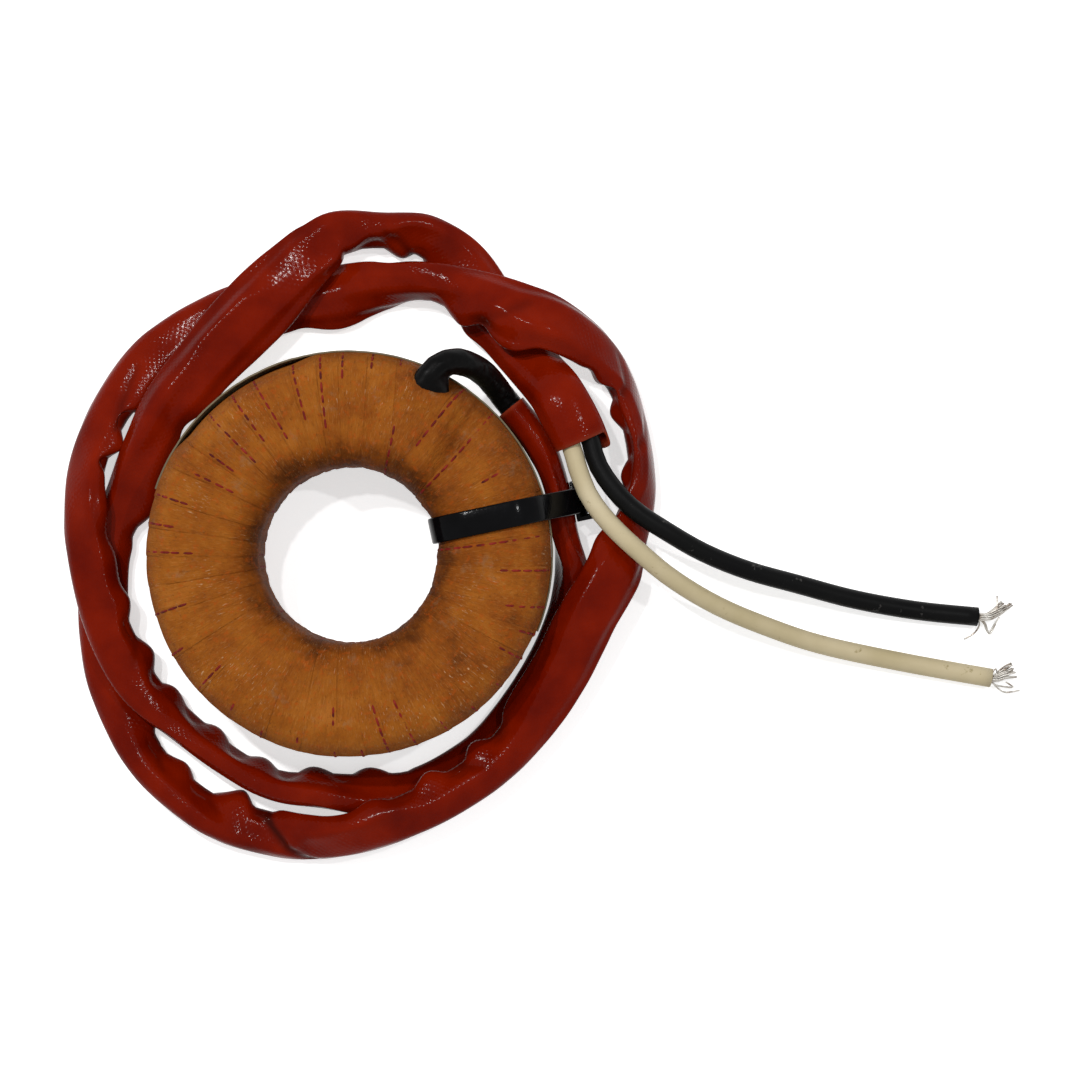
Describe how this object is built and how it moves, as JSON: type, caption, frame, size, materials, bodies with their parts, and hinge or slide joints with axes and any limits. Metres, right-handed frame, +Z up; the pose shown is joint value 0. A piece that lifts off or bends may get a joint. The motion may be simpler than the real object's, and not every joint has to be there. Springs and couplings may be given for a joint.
{
  "type": "taped ring current transformer",
  "caption": "Cotton-taped ring current transformer with two flying leads in a red varnished sleeve, held by a black cable tie.",
  "frame": {"origin": "centre of the window on its axis, in the plane of the ring's underside", "axes": "+Z up the window's axis, +X towards the free ends of the two leads"},
  "size_m": [0.1511, 0.1023, 0.0245],
  "materials": {
    "core_steel": "wound strip, matt",
    "pressboard": "matt board",
    "wrap_paper": "matt paper tape",
    "magnet_wire": "enamelled copper",
    "clear_film": "clear film",
    "joint_shrink": "heat-shrunk tube",
    "cotton_tape": "varnished cotton, dirty at the edges",
    "band_paper": "aged paper",
    "exit_tube": "glossy sleeve",
    "red_sleeving": "varnished glass braid, creased",
    "black_insulation": "satin, scuffed",
    "cream_insulation": "satin, aged",
    "tinned_strand": "tinned copper",
    "tie_nylon": "moulded nylon"
  },
  "bodies": {
    "root": {"steel_core": "core_steel", "lower_core_ring": "pressboard", "upper_core_ring": "pressboard", "core_wrap": "wrap_paper", "secondary_winding": "magnet_wire", "winding_film": "clear_film", "start_joint": "joint_shrink", "finish_joint": "joint_shrink", "outer_tape": "cotton_tape", "rating_band": "band_paper", "exit_sleeve": "exit_tube", "lead_sleeve": "red_sleeving", "black_lead": "black_insulation", "cream_lead": "cream_insulation", "black_conductor": "tinned_strand", "cream_conductor": "tinned_strand", "cable_tie": "tie_nylon"}
  },
  "joints": []
}
